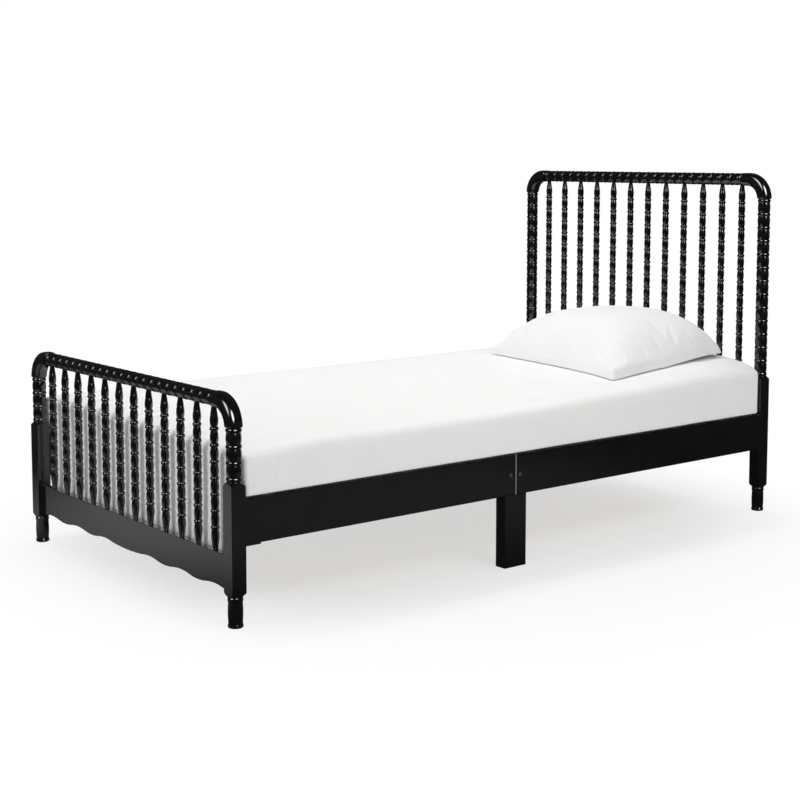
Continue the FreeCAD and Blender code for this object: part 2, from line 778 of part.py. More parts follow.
def ledger_screw_row(end):
    """First place, step and number of a ledger's screws."""
    start, stop = ledger_ends(end)
    count = s.ledger_screws_head if end == "head" else s.ledger_screws_foot
    first = start + s.ledger_screw_end
    step = (stop - start - 2 * s.ledger_screw_end) / (count - 1)
    return first, step, count


def slat_row(end):
    """Middle of the slat beside the leg, and the run and number of slats from it to one end."""
    half_slat = s.slat_width / 2
    if end == "head":
        first = leg_side[end] + s.slat_leg_gap + half_slat
        return first, bracket_end - s.slat_head_gap - half_slat - first, s.slats_to_head
    first = leg_side[end] - s.slat_leg_gap - half_slat
    return first, first + bracket_end - s.slat_foot_gap - half_slat, s.slats_to_foot


def ledger(label, end, side):
    """A square strip along the rail's inner face, which carries the slats."""
    made = body(label)
    start, stop = ledger_ends(end)
    inner = rail_inner - s.ledger_width
    profile = box(
        sketch(made, "XZ_Plane", -start), side * inner, s.rail_bottom, side * rail_inner, ledger_top
    )
    pad(made, profile, stop - start, "strip", back=True)
    first, step, count = ledger_screw_row(end)
    way = side * inner
    hole = circle(sketch(made, "YZ_Plane", way), first, ledger_mid, s.screw_shank + s.fit_gap)
    bored = pocket(made, hole, s.ledger_width + s.overcut, "screw_hole", back=side < 0)
    row_of(made, [bored], hole, "H_Axis", step * (count - 1), count, "screw_holes")
    sink = circle(sketch(made, "YZ_Plane", way), first, ledger_mid, s.screw_head + s.fit_gap)
    bored = pocket(made, sink, s.screw_head_height, "head_recess", back=side < 0)
    row_of(made, [bored], sink, "H_Axis", step * (count - 1), count, "head_recesses")

    first, run, count = slat_row(end)
    above = sketch(made, "XY_Plane", ledger_top)
    low = circle(above, side * slat_screw_x, first, s.screw_shank + s.fit_gap)
    bored = pocket(made, low, s.slat_screw - s.slat_thickness + s.end_gap, "slat_hole")
    row_of(made, [bored], low, "V_Axis", run, count, "slat_holes", back=end == "foot")
    return made


def support_leg(label, side):
    """A leg under the rail joint. Its tongue stands behind both rail lengths."""
    made = body(label)
    outer, inner = side * rail_outer, side * (rail_outer - s.leg_depth)
    shoulder = s.rail_bottom - s.butt_gap
    near, far, turned = leg_side["foot"], leg_side["head"], side * s.leg_round
    swell = turned * (1 - 0.5**0.5)
    foot = outline(
        sketch(made, "XY_Plane"),
        [
            (inner, near),
            (outer - turned, near, swell),
            (outer, near + s.leg_round),
            (outer, far - s.leg_round, swell),
            (outer - turned, far),
            (inner, far),
        ],
    )
    pad(made, foot, shoulder, "leg")
    back = side * (rail_inner - s.butt_gap)
    tongue = box(sketch(made, "XY_Plane"), inner, near, back, far)
    pad(made, tongue, shoulder + s.leg_tongue, "tongue")
    holes = sketch(made, "YZ_Plane", inner)
    for way in (-1, 1):
        circle(holes, s.joint_y + way * s.splice_spread / 2, s.splice_z, s.nut_radius + s.fit_gap)
    pocket(made, holes, s.leg_depth, "nut_holes", back=side < 0)
    return made


def bracket(label, end, side, shelf):
    """A steel angle between rail and post, with a shelf under the rail or not."""
    made = body(label)
    away = 1 if end == "head" else -1
    web, flange = rail_inner - s.bracket_plate, rail_inner - s.bracket_plate - s.bracket_flange
    low = s.rail_bottom - s.bracket_shelf if shelf else s.rail_bottom
    angle = outline(
        sketch(made, "XY_Plane", low),
        [
            (side * rail_inner, away * rail_end),
            (side * rail_inner, away * bracket_end),
            (side * web, away * bracket_end),
            (side * web, away * (rail_end - s.bracket_plate)),
            (side * flange, away * (rail_end - s.bracket_plate)),
            (side * flange, away * rail_end),
        ],
    )
    pad(made, angle, s.rail_bottom + s.bracket_height - low, "angle")
    if shelf:
        plate = box(
            sketch(made, "XY_Plane", low),
            side * web,
            away * rail_end,
            side * (rail_outer - s.rail_ease),
            away * bracket_end,
        )
        pad(made, plate, s.bracket_shelf, "shelf")
    bolts = sketch(made, "XZ_Plane", -away * rail_end)
    screws = sketch(made, "YZ_Plane", side * rail_inner)
    for up in (0, 1):
        z = bolt_z + up * s.bracket_hole_spread
        circle(bolts, side * bolt_x, z, s.bolt_shank + s.fit_gap)
        circle(screws, away * screw_y, z, s.screw_shank + s.fit_gap)
    depth = s.bracket_plate + s.overcut
    pocket(made, bolts, depth, "bolt_holes", back=away < 0)
    pocket(made, screws, depth, "screw_holes", back=side > 0)
    return made


def slats():
    """Slats across the ledgers, a row on each side of the legs."""
    made = body("slats", 0, 0, slat_top)
    reach, wide = rail_inner - s.slat_side_gap, s.slat_width / 2
    for end in ENDS:
        first, run, count = slat_row(end)
        plan = box(sketch(made, "XY_Plane"), -reach, first - wide, reach, first + wide)
        slat = pad(made, plan, s.slat_thickness, f"{end}_slat", back=True)
        holes, sinks = sketch(made, "XY_Plane"), sketch(made, "XY_Plane")
        for side in (-1, 1):
            circle(holes, side * slat_screw_x, first, s.screw_shank + s.fit_gap)
            circle(sinks, side * slat_screw_x, first, s.screw_head + s.fit_gap)
        bored = pocket(made, holes, s.slat_thickness + s.overcut, f"{end}_screw_holes")
        sunk = pocket(made, sinks, s.screw_head_height, f"{end}_head_recesses")
        row_of(made, [slat, bored, sunk], plan, "V_Axis", run, count, f"{end}_row", back=end == "foot")
    return made


def headed_pin(drawn, start, way, head, head_height, shank, length, upright=False):
    """Half of a pin on an axis of its sketch. The head's face is at start, and
    way is 1 or -1, the direction in which the pin points."""
    neck, tip = start + way * head_height, start + way * length
    corners = [(start, 0), (tip, 0), (tip, shank), (neck, shank), (neck, head), (start, head)]
    return outline(drawn, [(y, x) for x, y in corners] if upright else corners)


def splice_bolts():
    """Bolts of the rail joints. Each round head lies in its recess."""
    made = body("splice_bolts", 0, s.joint_y - s.splice_spread / 2, s.splice_z)
    seat = rail_outer - s.splice_sink
    face, tip = seat + s.splice_head_height, rail_outer - s.leg_depth
    floor = face - s.splice_socket_depth
    drawn = outline(
        sketch(made, "XZ_Plane"),
        [
            (tip, 0),
            (floor, 0),
            (floor, s.splice_socket),
            (face, s.splice_socket),
            (face, s.splice_head),
            (seat, s.splice_head),
            (seat, s.splice_shank),
            (tip, s.splice_shank),
        ],
    )
    one = turn(made, drawn, "H_Axis")
    row_of(made, [one], drawn, "N_Axis", s.splice_spread, 2, back=True)
    mirror(made, "YZ_Plane")
    return made


def leg_nuts():
    """Flanged nuts, set into the legs' tongues from inside the bed."""
    made = body("leg_nuts", 0, s.joint_y - s.splice_spread / 2, s.splice_z)
    seat = rail_outer - s.leg_depth
    back, tip = seat - s.nut_flange_height, seat + s.nut_length
    bore = s.splice_shank + s.fit_gap
    drawn = outline(
        sketch(made, "XZ_Plane"),
        [
            (back, bore),
            (tip, bore),
            (tip, s.nut_radius),
            (seat, s.nut_radius),
            (seat, s.nut_flange),
            (back, s.nut_flange),
        ],
    )
    one = turn(made, drawn, "H_Axis")
    row_of(made, [one], drawn, "N_Axis", s.splice_spread, 2, back=True)
    mirror(made, "YZ_Plane")
    return made


def bracket_bolts():
    """Bolts that hold the corner brackets to the posts, two in each."""
    made = body("bracket_bolts", 0, 0, bolt_z)
    drawn = headed_pin(
        sketch(made, "YZ_Plane", bolt_x),
        rail_end - s.bracket_plate - s.bolt_head_height,
        1,
        s.bolt_head,
        s.bolt_head_height,
        s.bolt_shank,
        s.bolt_head_height + s.bolt_length,
    )
    one = turn(made, drawn, "H_Axis")
    row_of(made, [one], drawn, "V_Axis", s.bracket_hole_spread, 2)
    mirror(made, "XZ_Plane", "ends")
    mirror(made, "YZ_Plane", "sides")
    return made


def bracket_screws():
    """Screws that hold the corner brackets to the side rails, two in each."""
    made = body("bracket_screws", 0, 0, bolt_z)
    drawn = headed_pin(
        sketch(made, "XZ_Plane", -screw_y),
        rail_inner - s.bracket_plate - s.screw_head_height,
        1,
        s.screw_head,
        s.screw_head_height,
        s.screw_shank,
        s.screw_head_height + s.bracket_screw,
    )
    one = turn(made, drawn, "H_Axis")
    row_of(made, [one], drawn, "V_Axis", s.bracket_hole_spread, 2)
    mirror(made, "XZ_Plane", "ends")
    mirror(made, "YZ_Plane", "sides")
    return made


def ledger_screws():
    """Screws that hold the ledgers to the side rails, heads flush."""
    made = body("ledger_screws", 0, 0, ledger_mid)
    for end in ENDS:
        first, step, count = ledger_screw_row(end)
        drawn = headed_pin(
            sketch(made, "XZ_Plane", -first),
            rail_inner - s.ledger_width,
            1,
            s.screw_head,
            s.screw_head_height,
            s.screw_shank,
            s.ledger_screw,
        )
        one = turn(made, drawn, "H_Axis", name=end)
        row_of(made, [one], drawn, "N_Axis", step * (count - 1), count, f"{end}_row", back=True)
    mirror(made, "YZ_Plane")
    return made


def slat_screws():
    """Screws that hold the slats to the ledgers, heads flush."""
    made = body("slat_screws", -slat_screw_x, 0, slat_top)
    for end in ENDS:
        first, run, count = slat_row(end)
        drawn = headed_pin(
            sketch(made, "XZ_Plane", -first),
            0,
            -1,
            s.screw_head,
            s.screw_head_height,
            s.screw_shank,
            s.slat_screw,
            upright=True,
        )
        one = turn(made, drawn, name=end)
        row_of(made, [one], drawn, "N_Axis", run, count, f"{end}_row", back=end == "head")
    row_of(made, None, drawn, "H_Axis", 2 * slat_screw_x, 2, "sides")
    return made


def edges_at(shape, z):
    """Names of a shape's edges that lie flat at height z."""
    level = [abs(edge.BoundBox.ZMin - z) + abs(edge.BoundBox.ZMax - z) for edge in shape.Edges]
    return [f"Edge{n}" for n, off in enumerate(level, 1) if off < 0.001]


def soft_block(made, off, high, below):
    """A block of the mattress's plan, off it all round, with round edges above
    and maybe below."""
    wide, long = mattress_wide + off, mattress_long + off
    foot, head = s.mattress_foot_corner + off, s.mattress_head_corner + off
    plan = rounded_box(sketch(made, "XY_Plane"), -wide, -long, wide, long, foot, head)
    block = pad(made, plan, high, "block")
    doc.recompute()
    rims = edges_at(block.Shape, high.value)
    if below:
        rims += edges_at(block.Shape, 0)
    soft = made.newObject("PartDesign::Fillet", f"{made.Name}_round")
    soft.Base = (block, rims)
    bind(soft, "Radius", s.mattress_round + off)
    return soft


def mattress():
    """The mattress, a soft block on the slats."""
    made = body("mattress", 0, 0, mattress_z)
    soft_block(made, 0, s.mattress_height, True)
    return made


def fitted_sheet():
    """A thin sheet over the mattress's top and sides, open below. At the foot it
    hangs down behind the apron."""
    hem = mattress_z + s.sheet_lift
    made = body("fitted_sheet", 0, 0, hem)
    soft = soft_block(made, sheet_off, s.mattress_height - s.sheet_lift + sheet_off, False)
    doc.recompute()
    under = [f"Face{n}" for n, face in enumerate(soft.Shape.Faces, 1) if face.BoundBox.ZMax < 0.001]
    shell = made.newObject("PartDesign::Thickness", f"{made.Name}_shell")
    shell.Base = (soft, under)
    shell.Reversed = True
    bind(shell, "Value", s.sheet_thickness)

    wide, face = mattress_wide + sheet_off - s.sheet_drop_inset, mattress_long + s.sheet_gap
    drop = sketch(made, "XY_Plane", s.sheet_drop - hem)
    box(drop, -wide, -face - s.sheet_thickness, wide, -face)
    pad(made, drop, hem + s.sheet_drop_lap - s.sheet_drop, "foot_drop")
    return made


PILLOW_STEPS = 3


def pillow():
    """A pillow: a flat hem with drawn-in sides, and a crown that swells over it
    and dies away towards the corners."""
    made = body("pillow", s.pillow_x, post_y - half - s.pillow_head, sheet_top + s.pillow_gap)
    made.Placement.Rotation = FreeCAD.Rotation(V(0, 0, 1), s.pillow_turn.value)
    bind(made, "Placement.Rotation.Angle", s.pillow_turn)
    wide, long, draw = s.pillow_width / 2, s.pillow_length / 2, -s.pillow_draw
    plan = sketch(made, "XY_Plane")
    outline(plan, [(-wide, -long, draw), (wide, -long, draw), (wide, long, draw), (-wide, long, draw)])
    pad(made, plan, s.pillow_hem_thickness, "hem")

    sections = []
    low = s.pillow_hem_thickness / 2
    for n in range(-PILLOW_STEPS, PILLOW_STEPS + 1):
        out = abs(n) / PILLOW_STEPS
        x = (wide - s.pillow_hem - s.pillow_draw) * (n / PILLOW_STEPS)
        fall = (1 - out**s.pillow_fall) ** s.pillow_fullness
        rise = s.pillow_edge + (s.pillow_crown - s.pillow_edge) * fall
        y = long - s.pillow_hem - s.pillow_draw * (1 - out**2)
        shoulder, high = y - s.pillow_shoulder, low + rise * s.pillow_shoulder_rise
        drawn = sketch(made, "YZ_Plane", x)
        outline(
            drawn,
            [
                (-y, low),
                (y, low, rise * s.pillow_side_swell),
                (shoulder, high, rise * s.pillow_top_swell),
                (-shoulder, high, rise * s.pillow_side_swell),
            ],
        )
        sections.append(drawn)
    crown = feature(made, "AdditiveLoft", sections[0], "crown")
    crown.Sections = sections[1:]
    return made


pieces = []
for end in ENDS:
    pieces.append(top_rail(f"{end}_top_rail", end))
    for name, side in SIDES.items():
        pieces.append(post(f"{end}_post_{name}", end, side))
        pieces.append(elbow(f"{end}_elbow_{name}", end, side))
        pieces.append(bracket(f"{end}_bracket_{name}", end, side, shelf=end == "foot"))
        pieces.append(side_rail(f"side_rail_{name}_{end}", end, side))
        pieces.append(ledger(f"ledger_{name}_{end}", end, side))
    first = spindle(f"{end}_spindle_01", end)
    pieces.append(first)
    y = post_y if end == "head" else -post_y
    for n in range(1, int(s.spindle_count.value)):
        x = first_spindle + n * spindle_pitch
        pieces.append(copy(first, f"{end}_spindle_{n + 1:02d}", x, y, board_top[end]))
pieces.append(board("head_bottom_rail", "head", []))
pieces.append(board("foot_apron", "foot", scallops()))
for name, side in SIDES.items():
    pieces.append(support_leg(f"support_leg_{name}", side))
pieces += [slats(), slat_screws(), ledger_screws(), bracket_bolts(), bracket_screws()]
pieces += [splice_bolts(), leg_nuts(), mattress(), fitted_sheet(), pillow()]
doc.recompute()

for item in doc.Objects:
    if {"Invalid", "Error"} & set(item.State):
        raise RuntimeError(f"{item.Label} failed: {item.State}")
    if item.TypeId in ("PartDesign::Pocket", "PartDesign::Groove"):
        before = item.BaseFeature.Shape.Volume
        if item.Shape.Volume > before - 0.1:
            raise RuntimeError(f"{item.Label} cuts nothing")
for piece in pieces:
    if piece.Shape.isNull() or not piece.Shape.isValid():
        raise RuntimeError(f"{piece.Label} has no sound shape")

os.makedirs("parts", exist_ok=True)
for piece in pieces:
    piece.Shape.exportStep(f"parts/{piece.Label}.step")
print(len(pieces), "pieces written")
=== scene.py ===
import json
import math

import bpy
import numpy as np
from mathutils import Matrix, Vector


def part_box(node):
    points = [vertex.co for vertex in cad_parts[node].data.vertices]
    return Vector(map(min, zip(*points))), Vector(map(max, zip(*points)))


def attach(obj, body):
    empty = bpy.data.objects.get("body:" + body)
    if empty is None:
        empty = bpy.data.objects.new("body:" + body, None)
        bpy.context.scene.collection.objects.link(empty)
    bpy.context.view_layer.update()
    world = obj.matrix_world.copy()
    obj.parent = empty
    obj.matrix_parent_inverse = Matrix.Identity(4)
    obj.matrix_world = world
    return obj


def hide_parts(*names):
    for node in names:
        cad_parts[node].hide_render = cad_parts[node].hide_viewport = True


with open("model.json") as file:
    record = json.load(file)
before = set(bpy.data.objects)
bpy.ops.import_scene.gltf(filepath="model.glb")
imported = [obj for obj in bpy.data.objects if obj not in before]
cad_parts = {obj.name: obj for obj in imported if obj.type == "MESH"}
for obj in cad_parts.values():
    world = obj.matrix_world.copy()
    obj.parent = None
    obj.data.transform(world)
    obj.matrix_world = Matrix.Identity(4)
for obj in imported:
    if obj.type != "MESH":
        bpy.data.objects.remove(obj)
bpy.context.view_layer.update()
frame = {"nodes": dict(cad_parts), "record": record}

nodes = frame["nodes"]
slot_of = {part["node"]: part["material_slot"] for part in frame["record"]["subparts"]}
scene = bpy.context.scene


# Finishes

def hue(code):
    """An sRGB hex colour as linear red, green, blue and alpha."""
    shares = [int(code[i:i + 2], 16) / 255 for i in (1, 3, 5)]
    return [s / 12.92 if s <= 0.04045 else ((s + 0.055) / 1.055) ** 2.4 for s in shares] + [1.0]


def add(tree, kind, inputs=None, **settings):
    """One shader node with its settings. Each input gets a value, or a link from another node's output."""
    made = tree.nodes.new("ShaderNode" + kind)
    for name, value in settings.items():
        setattr(made, name, value)
    for name, value in (inputs or {}).items():
        if isinstance(value, bpy.types.NodeSocket):
            tree.links.new(value, made.inputs[name])
        else:
            made.inputs[name].default_value = value
    return made


def finish(name):
    """A new material, with its tree, its shader and each point's place in metres."""
    made = bpy.data.materials.new(name)
    made.use_nodes = True
    tree = made.node_tree
    shader = tree.nodes["Principled BSDF"]
    place = add(tree, "TexCoord").outputs["Object"]
    return made, tree, shader, place


def per_mm(size):
    """The noise scale that makes one cell of a pattern this many millimetres wide."""
    return 1000.0 / size


def bands_per_mm(size):
    """The wave scale that sets bands this many millimetres apart."""
    return math.pi / 10 * 1000.0 / size


def sprayed_lacquer(name, joint=None):
    # Black lacquer sprayed on turned and planed hardwood, under a clear gloss coat: deep black, with
    # crisp points of light on the turned rings. The spray dries with a shallow orange peel a few
    # millimetres wide, and the black is a little duller where it is thin. On the side rails a thin pale
    # line is painted along the two edges where the lengths meet.
    made, tree, shader, place = finish(name)
    cloud = add(tree, "TexNoise", {"Vector": place, "Scale": per_mm(60), "Detail": 3.0}).outputs["Fac"]
    peel = add(tree, "TexNoise", {"Vector": place, "Scale": per_mm(4), "Detail": 2.0}).outputs["Fac"]
    thin = add(tree, "MapRange", {"Value": cloud, "From Min": 0.35, "From Max": 0.65}).outputs["Result"]
    black = add(tree, "Mix", {0: thin, 6: hue("#060606"), 7: hue("#0b0b0c")}, data_type="RGBA").outputs[2]
    # a thin pale line painted along the joint between the two lengths of each side rail
    if joint is not None:
        along = add(tree, "SeparateXYZ", {0: place}).outputs["Y"]
        off = add(tree, "Math", {0: along, 1: joint}, operation="SUBTRACT").outputs[0]
        off = add(tree, "Math", {0: off}, operation="ABSOLUTE").outputs[0]
        pale_joint_line = add(tree, "MapRange", {"Value": off, "From Min": 0.0009, "From Max": 0.0013,
                                      "To Min": 1.0, "To Max": 0.0}).outputs["Result"]
        black = add(tree, "Mix", {0: pale_joint_line, 6: black, 7: hue("#aaa8a4")}, data_type="RGBA").outputs[2]
    sheen = add(tree, "MapRange", {"Value": cloud, "From Min": 0.3, "From Max": 0.7,
                                   "To Min": 0.10, "To Max": 0.16}).outputs["Result"]
    bump = add(tree, "Bump", {"Height": peel, "Strength": 0.25, "Distance": 0.00004}).outputs["Normal"]
    tree.links.new(black, shader.inputs["Base Color"])
    tree.links.new(sheen, shader.inputs["Roughness"])
    tree.links.new(bump, shader.inputs["Normal"])
    shader.inputs["IOR"].default_value = 1.5
    shader.inputs["Coat Weight"].default_value = 0.6
    shader.inputs["Coat Roughness"].default_value = 0.05
    shader.inputs["Coat IOR"].default_value = 1.5
    return made


def planed_pine(name, along):
    # Bare pine, planed and lightly sanded: pale yellow-brown, with darker latewood lines every few
    # millimetres that run along the strip. It is matt, and the grain can just be felt.
    made, tree, shader, place = finish(name)
    stretch = [1.0, 1.0, 1.0]
    stretch[along] = 0.03
    grain = add(tree, "Mapping", {"Vector": place, "Scale": stretch}).outputs["Vector"]
    cloud = add(tree, "TexNoise", {"Vector": grain, "Scale": per_mm(45), "Detail": 3.0}).outputs["Fac"]
    rings = add(tree, "TexNoise", {"Vector": grain, "Scale": per_mm(5), "Detail": 4.0,
                                   "Distortion": 0.6}).outputs["Fac"]
    early = add(tree, "Mix", {0: cloud, 6: hue("#d2ac78"), 7: hue("#ecd4ab")}, data_type="RGBA").outputs[2]
    late = add(tree, "MapRange", {"Value": rings, "From Min": 0.52, "From Max": 0.68,
                                  "To Max": 0.75}).outputs["Result"]
    colour = add(tree, "Mix", {0: late, 6: early, 7: hue("#bd8f58")}, data_type="RGBA").outputs[2]
    bump = add(tree, "Bump", {"Height": rings, "Strength": 0.4, "Distance": 0.0002}).outputs["Normal"]
    tree.links.new(colour, shader.inputs["Base Color"])
    tree.links.new(bump, shader.inputs["Normal"])
    shader.inputs["Roughness"].default_value = 0.62
    shader.inputs["IOR"].default_value = 1.5
    return made


def powder_coat():
    # Black powder coat baked on pressed steel: satin, with a fine even pebble from the powder.
    # The real pebble is about half a millimetre, drawn here at 1.5 mm so that it shows.
    made, tree, shader, place = finish("black_powder_coated_steel")
    pebble = add(tree, "TexNoise", {"Vector": place, "Scale": per_mm(1.5), "Detail": 1.0}).outputs["Fac"]
    colour = add(tree, "Mix", {0: pebble, 6: hue("#0e0e0f"), 7: hue("#1a1a1c")}, data_type="RGBA").outputs[2]
    bump = add(tree, "Bump", {"Height": pebble, "Strength": 0.5, "Distance": 0.0001}).outputs["Normal"]
    tree.links.new(colour, shader.inputs["Base Color"])
    tree.links.new(bump, shader.inputs["Normal"])
    shader.inputs["Roughness"].default_value = 0.42
    shader.inputs["IOR"].default_value = 1.5
    return made


def zinc_plate():
    # Bright zinc plate on steel screws: cool grey metal, uneven and a little cloudy.
    made, tree, shader, place = finish("zinc_plated_steel")
    cloud = add(tree, "TexNoise", {"Vector": place, "Scale": per_mm(3), "Detail": 2.0}).outputs["Fac"]
    colour = add(tree, "Mix", {0: cloud, 6: hue("#a2a6ab"), 7: hue("#d0d1d2")}, data_type="RGBA").outputs[2]
    dull = add(tree, "MapRange", {"Value": cloud, "From Min": 0.3, "From Max": 0.7,
                                  "To Min": 0.28, "To Max": 0.42}).outputs["Result"]
    tree.links.new(colour, shader.inputs["Base Color"])
    tree.links.new(dull, shader.inputs["Roughness"])
    shader.inputs["Metallic"].default_value = 1.0
    return made


def black_oxide():
    # Black oxide on the splice bolts, a thin oiled layer on steel: dark grey and satin, so that the
    # round heads stand out from the lacquer round them.
    made, tree, shader, place = finish("black_oxide_steel")
    cloud = add(tree, "TexNoise", {"Vector": place, "Scale": per_mm(3), "Detail": 2.0}).outputs["Fac"]
    colour = add(tree, "Mix", {0: cloud, 6: hue("#39393b"), 7: hue("#4a4a4d")}, data_type="RGBA").outputs[2]
    tree.links.new(colour, shader.inputs["Base Color"])
    shader.inputs["Roughness"].default_value = 0.45
    shader.inputs["IOR"].default_value = 1.5
    return made


def woven_cotton(name, pale, deep, thread, crease):
    # Plain-woven white cotton: matt, with a fine cross of threads and a few soft creases.
    # The real threads are about 0.3 mm apart, drawn here wider so that the weave shows.
    made, tree, shader, place = finish(name)
    cross = 0.0
    for way in "XYZ":
        threads = add(tree, "TexWave", {"Vector": place, "Scale": bands_per_mm(thread), "Distortion": 1.5,
                                        "Detail": 1.0}, bands_direction=way).outputs["Fac"]
        cross = add(tree, "Math", {0: threads, 1: cross}, operation="ADD").outputs[0]
    cloud = add(tree, "TexNoise", {"Vector": place, "Scale": per_mm(crease), "Detail": 3.0}).outputs["Fac"]
    colour = add(tree, "Mix", {0: cloud, 6: hue(deep), 7: hue(pale)}, data_type="RGBA").outputs[2]
    soft = add(tree, "Bump", {"Height": cloud, "Strength": 0.25, "Distance": 0.002}).outputs["Normal"]
    bump = add(tree, "Bump", {"Height": cross, "Strength": 0.15, "Distance": 0.0001,
                              "Normal": soft}).outputs["Normal"]
    tree.links.new(colour, shader.inputs["Base Color"])
    tree.links.new(bump, shader.inputs["Normal"])
    shader.inputs["Roughness"].default_value = 0.88
    shader.inputs["IOR"].default_value = 1.5
    shader.inputs["Specular IOR Level"].default_value = 0.25
    shader.inputs["Sheen Weight"].default_value = 0.12
    shader.inputs["Sheen Roughness"].default_value = 0.5
    return made


def mattress_ticking():
    # Mattress ticking, a close twill: off-white with thin grey stripes 12 mm apart, matt.
    made, tree, shader, place = finish("woven_mattress_ticking")
    bands = add(tree, "TexWave", {"Vector": place, "Scale": bands_per_mm(12), "Distortion": 0.0},
                bands_direction="Y").outputs["Fac"]
    stripe = add(tree, "MapRange", {"Value": bands, "From Min": 0.86, "From Max": 0.96}).outputs["Result"]
    colour = add(tree, "Mix", {0: stripe, 6: hue("#e4e2dc"), 7: hue("#b8bcc2")}, data_type="RGBA").outputs[2]
    twill = add(tree, "TexNoise", {"Vector": place, "Scale": per_mm(2), "Detail": 1.0}).outputs["Fac"]
    bump = add(tree, "Bump", {"Height": twill, "Strength": 0.2, "Distance": 0.0002}).outputs["Normal"]
    tree.links.new(colour, shader.inputs["Base Color"])
    tree.links.new(bump, shader.inputs["Normal"])
    shader.inputs["Roughness"].default_value = 0.85
    shader.inputs["IOR"].default_value = 1.5
    shader.inputs["Sheen Weight"].default_value = 0.1
    return made


ACROSS, ALONG = 0, 1        # the bed's width and its length, as axes of the frame

rail_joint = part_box("side_rail_right_foot")[1].y
lacquer = sprayed_lacquer("sprayed_black_lacquer")
rail_lacquer = sprayed_lacquer("sprayed_black_lacquer_on_rails", rail_joint)
slat_pine = planed_pine("planed_pine_across", ACROSS)
ledger_pine = planed_pine("planed_pine_along", ALONG)
powder = powder_coat()
zinc = zinc_plate()
oxide = black_oxide()
sheet_cotton = woven_cotton("woven_cotton_sheet", "#f4f4f3", "#eeeeed", thread=1.6, crease=90)
pillow_cotton = woven_cotton("woven_cotton_pillow_case", "#f1f1f0", "#ececeb", thread=1.6, crease=70)
ticking = mattress_ticking()

finish_of = {"black_lacquer": lacquer, "bare_pine": ledger_pine, "black_steel": powder, "zinc": zinc,
             "ticking": ticking, "sheet": sheet_cotton, "pillow_case": pillow_cotton}
for node, item in nodes.items():
    item.material_slots[0].material = finish_of[slot_of[node]]
    if node.startswith("side_rail"):
        item.material_slots[0].material = rail_lacquer
nodes["slats"].material_slots[0].material = slat_pine
nodes["splice_bolts"].material_slots[0].material = oxide


# Bedding

def mesh_piece(name, points, faces, material, body, slot, *stands_for):
    """A mesh that rides on a body, in place of the plain solids that it stands for."""
    mesh = bpy.data.meshes.new(name)
    mesh.from_pydata([tuple(p) for p in points], [], faces)
    mesh.materials.append(material)
    mesh.shade_smooth()
    piece = bpy.data.objects.new(name, mesh)
    scene.collection.objects.link(piece)
    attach(piece, body)
    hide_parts(*stands_for)
    return piece


def waves(points, pitch, seed):
    """A smooth, repeatable unevenness between about -1 and 1, with humps a pitch apart."""
    chance = np.random.default_rng(seed)
    total = np.zeros(len(points))
    for _ in range(9):
        way = chance.normal(size=points.shape[1])
        way *= chance.uniform(0.6, 1.5) * 2 * math.pi / pitch / np.linalg.norm(way)
        total += np.sin(points @ way + chance.uniform(0, 2 * math.pi))
    return total / 5


def ease(value, start, end):
    """Goes softly from 0 at start to 1 at end."""
    share = np.clip((value - start) / (end - start), 0, 1)
    return share * share * (3 - 2 * share)


def quads(grid, over):
    """The faces of a grid of points, seen from above or below."""
    a, b, c, d = grid[:-1, :-1].ravel(), grid[1:, :-1].ravel(), grid[1:, 1:].ravel(), grid[:-1, 1:].ravel()
    return np.column_stack([a, b, c, d] if over else [a, d, c, b]).tolist()


def rim_of(grid):
    """The points along the edge of a grid, in order round it."""
    return np.concatenate([grid[:-1, 0], grid[-1, :-1], grid[:0:-1, -1], grid[0, :0:-1]])


def between(ring, next_ring):
    """The faces that join two rings of points."""
    return np.column_stack([ring, next_ring, np.roll(next_ring, -1), np.roll(ring, -1)]).tolist()


EDGE_BAND = 0.1             # mesh lines are close in this band along the edges of mattress and sheet
EDGE_LINES = 24             # lines in that band
OPEN_STEP = 0.022           # about the distance between lines everywhere else


def lines(half):
    """Mesh lines across a block, close together along both edges."""
    open_half = half - EDGE_BAND
    middle = np.linspace(-open_half, open_half, round(2 * open_half / OPEN_STEP) + 1)
    edge = np.linspace(open_half, half, EDGE_LINES)[1:]
    return np.concatenate([-edge[::-1], middle, edge])


def block(half_x, half_y, levels):
    """A sharp-edged block's top and sides as points and faces, with the points of its lowest row. Levels
    give the rows from the top down, each a height or a function that gives each rim point's height."""
    xs, ys = lines(half_x), lines(half_y)
    top = np.array([(x, y, levels[0]) for x in xs for y in ys])
    grid = np.arange(len(top)).reshape(len(xs), len(ys))
    rim = rim_of(grid)
    faces = quads(grid, True)
    points, above = [top], rim
    for level in levels[1:]:
        heights = level(top[rim]) if callable(level) else np.full(len(rim), level)
        below = np.arange(len(rim)) + sum(map(len, points))
        points.append(np.column_stack([top[rim, :2], heights]))
        faces += between(above, below)
        above = below
    return np.concatenate(points), faces, above


LEAST_FLAT = 0.001          # a round corner is at least this much larger than the rolled edge over it


def rounded(points, half_x, half_y, high, corner, roll):
    """Points of a sharp block moved to round corners and a rolled top edge, both given for each point.
    Also gives each point's way out from the block's core, and whether it is on the side."""
    corner = np.maximum(corner, roll + LEAST_FLAT)
    core = np.column_stack([np.clip(points[:, 0], corner - half_x, half_x - corner),
                            np.clip(points[:, 1], corner - half_y, half_y - corner)])
    out = points[:, :2] - core
    far = np.abs(out).max(axis=1)
    way = out / np.maximum(np.hypot(out[:, 0], out[:, 1]), 1e-9)[:, None]
    across = np.maximum(far - (corner - roll), 0)
    up = np.maximum(points[:, 2] - (high - roll), 0)
    bend = np.maximum(across, up) / np.maximum(np.hypot(across, up), 1e-9)
    plan = np.minimum(far, corner - roll) + across * bend
    rise = np.minimum(points[:, 2], high - roll) + up * bend
    return np.column_stack([core + way * plan[:, None], rise]), way, far > corner - 1e-6


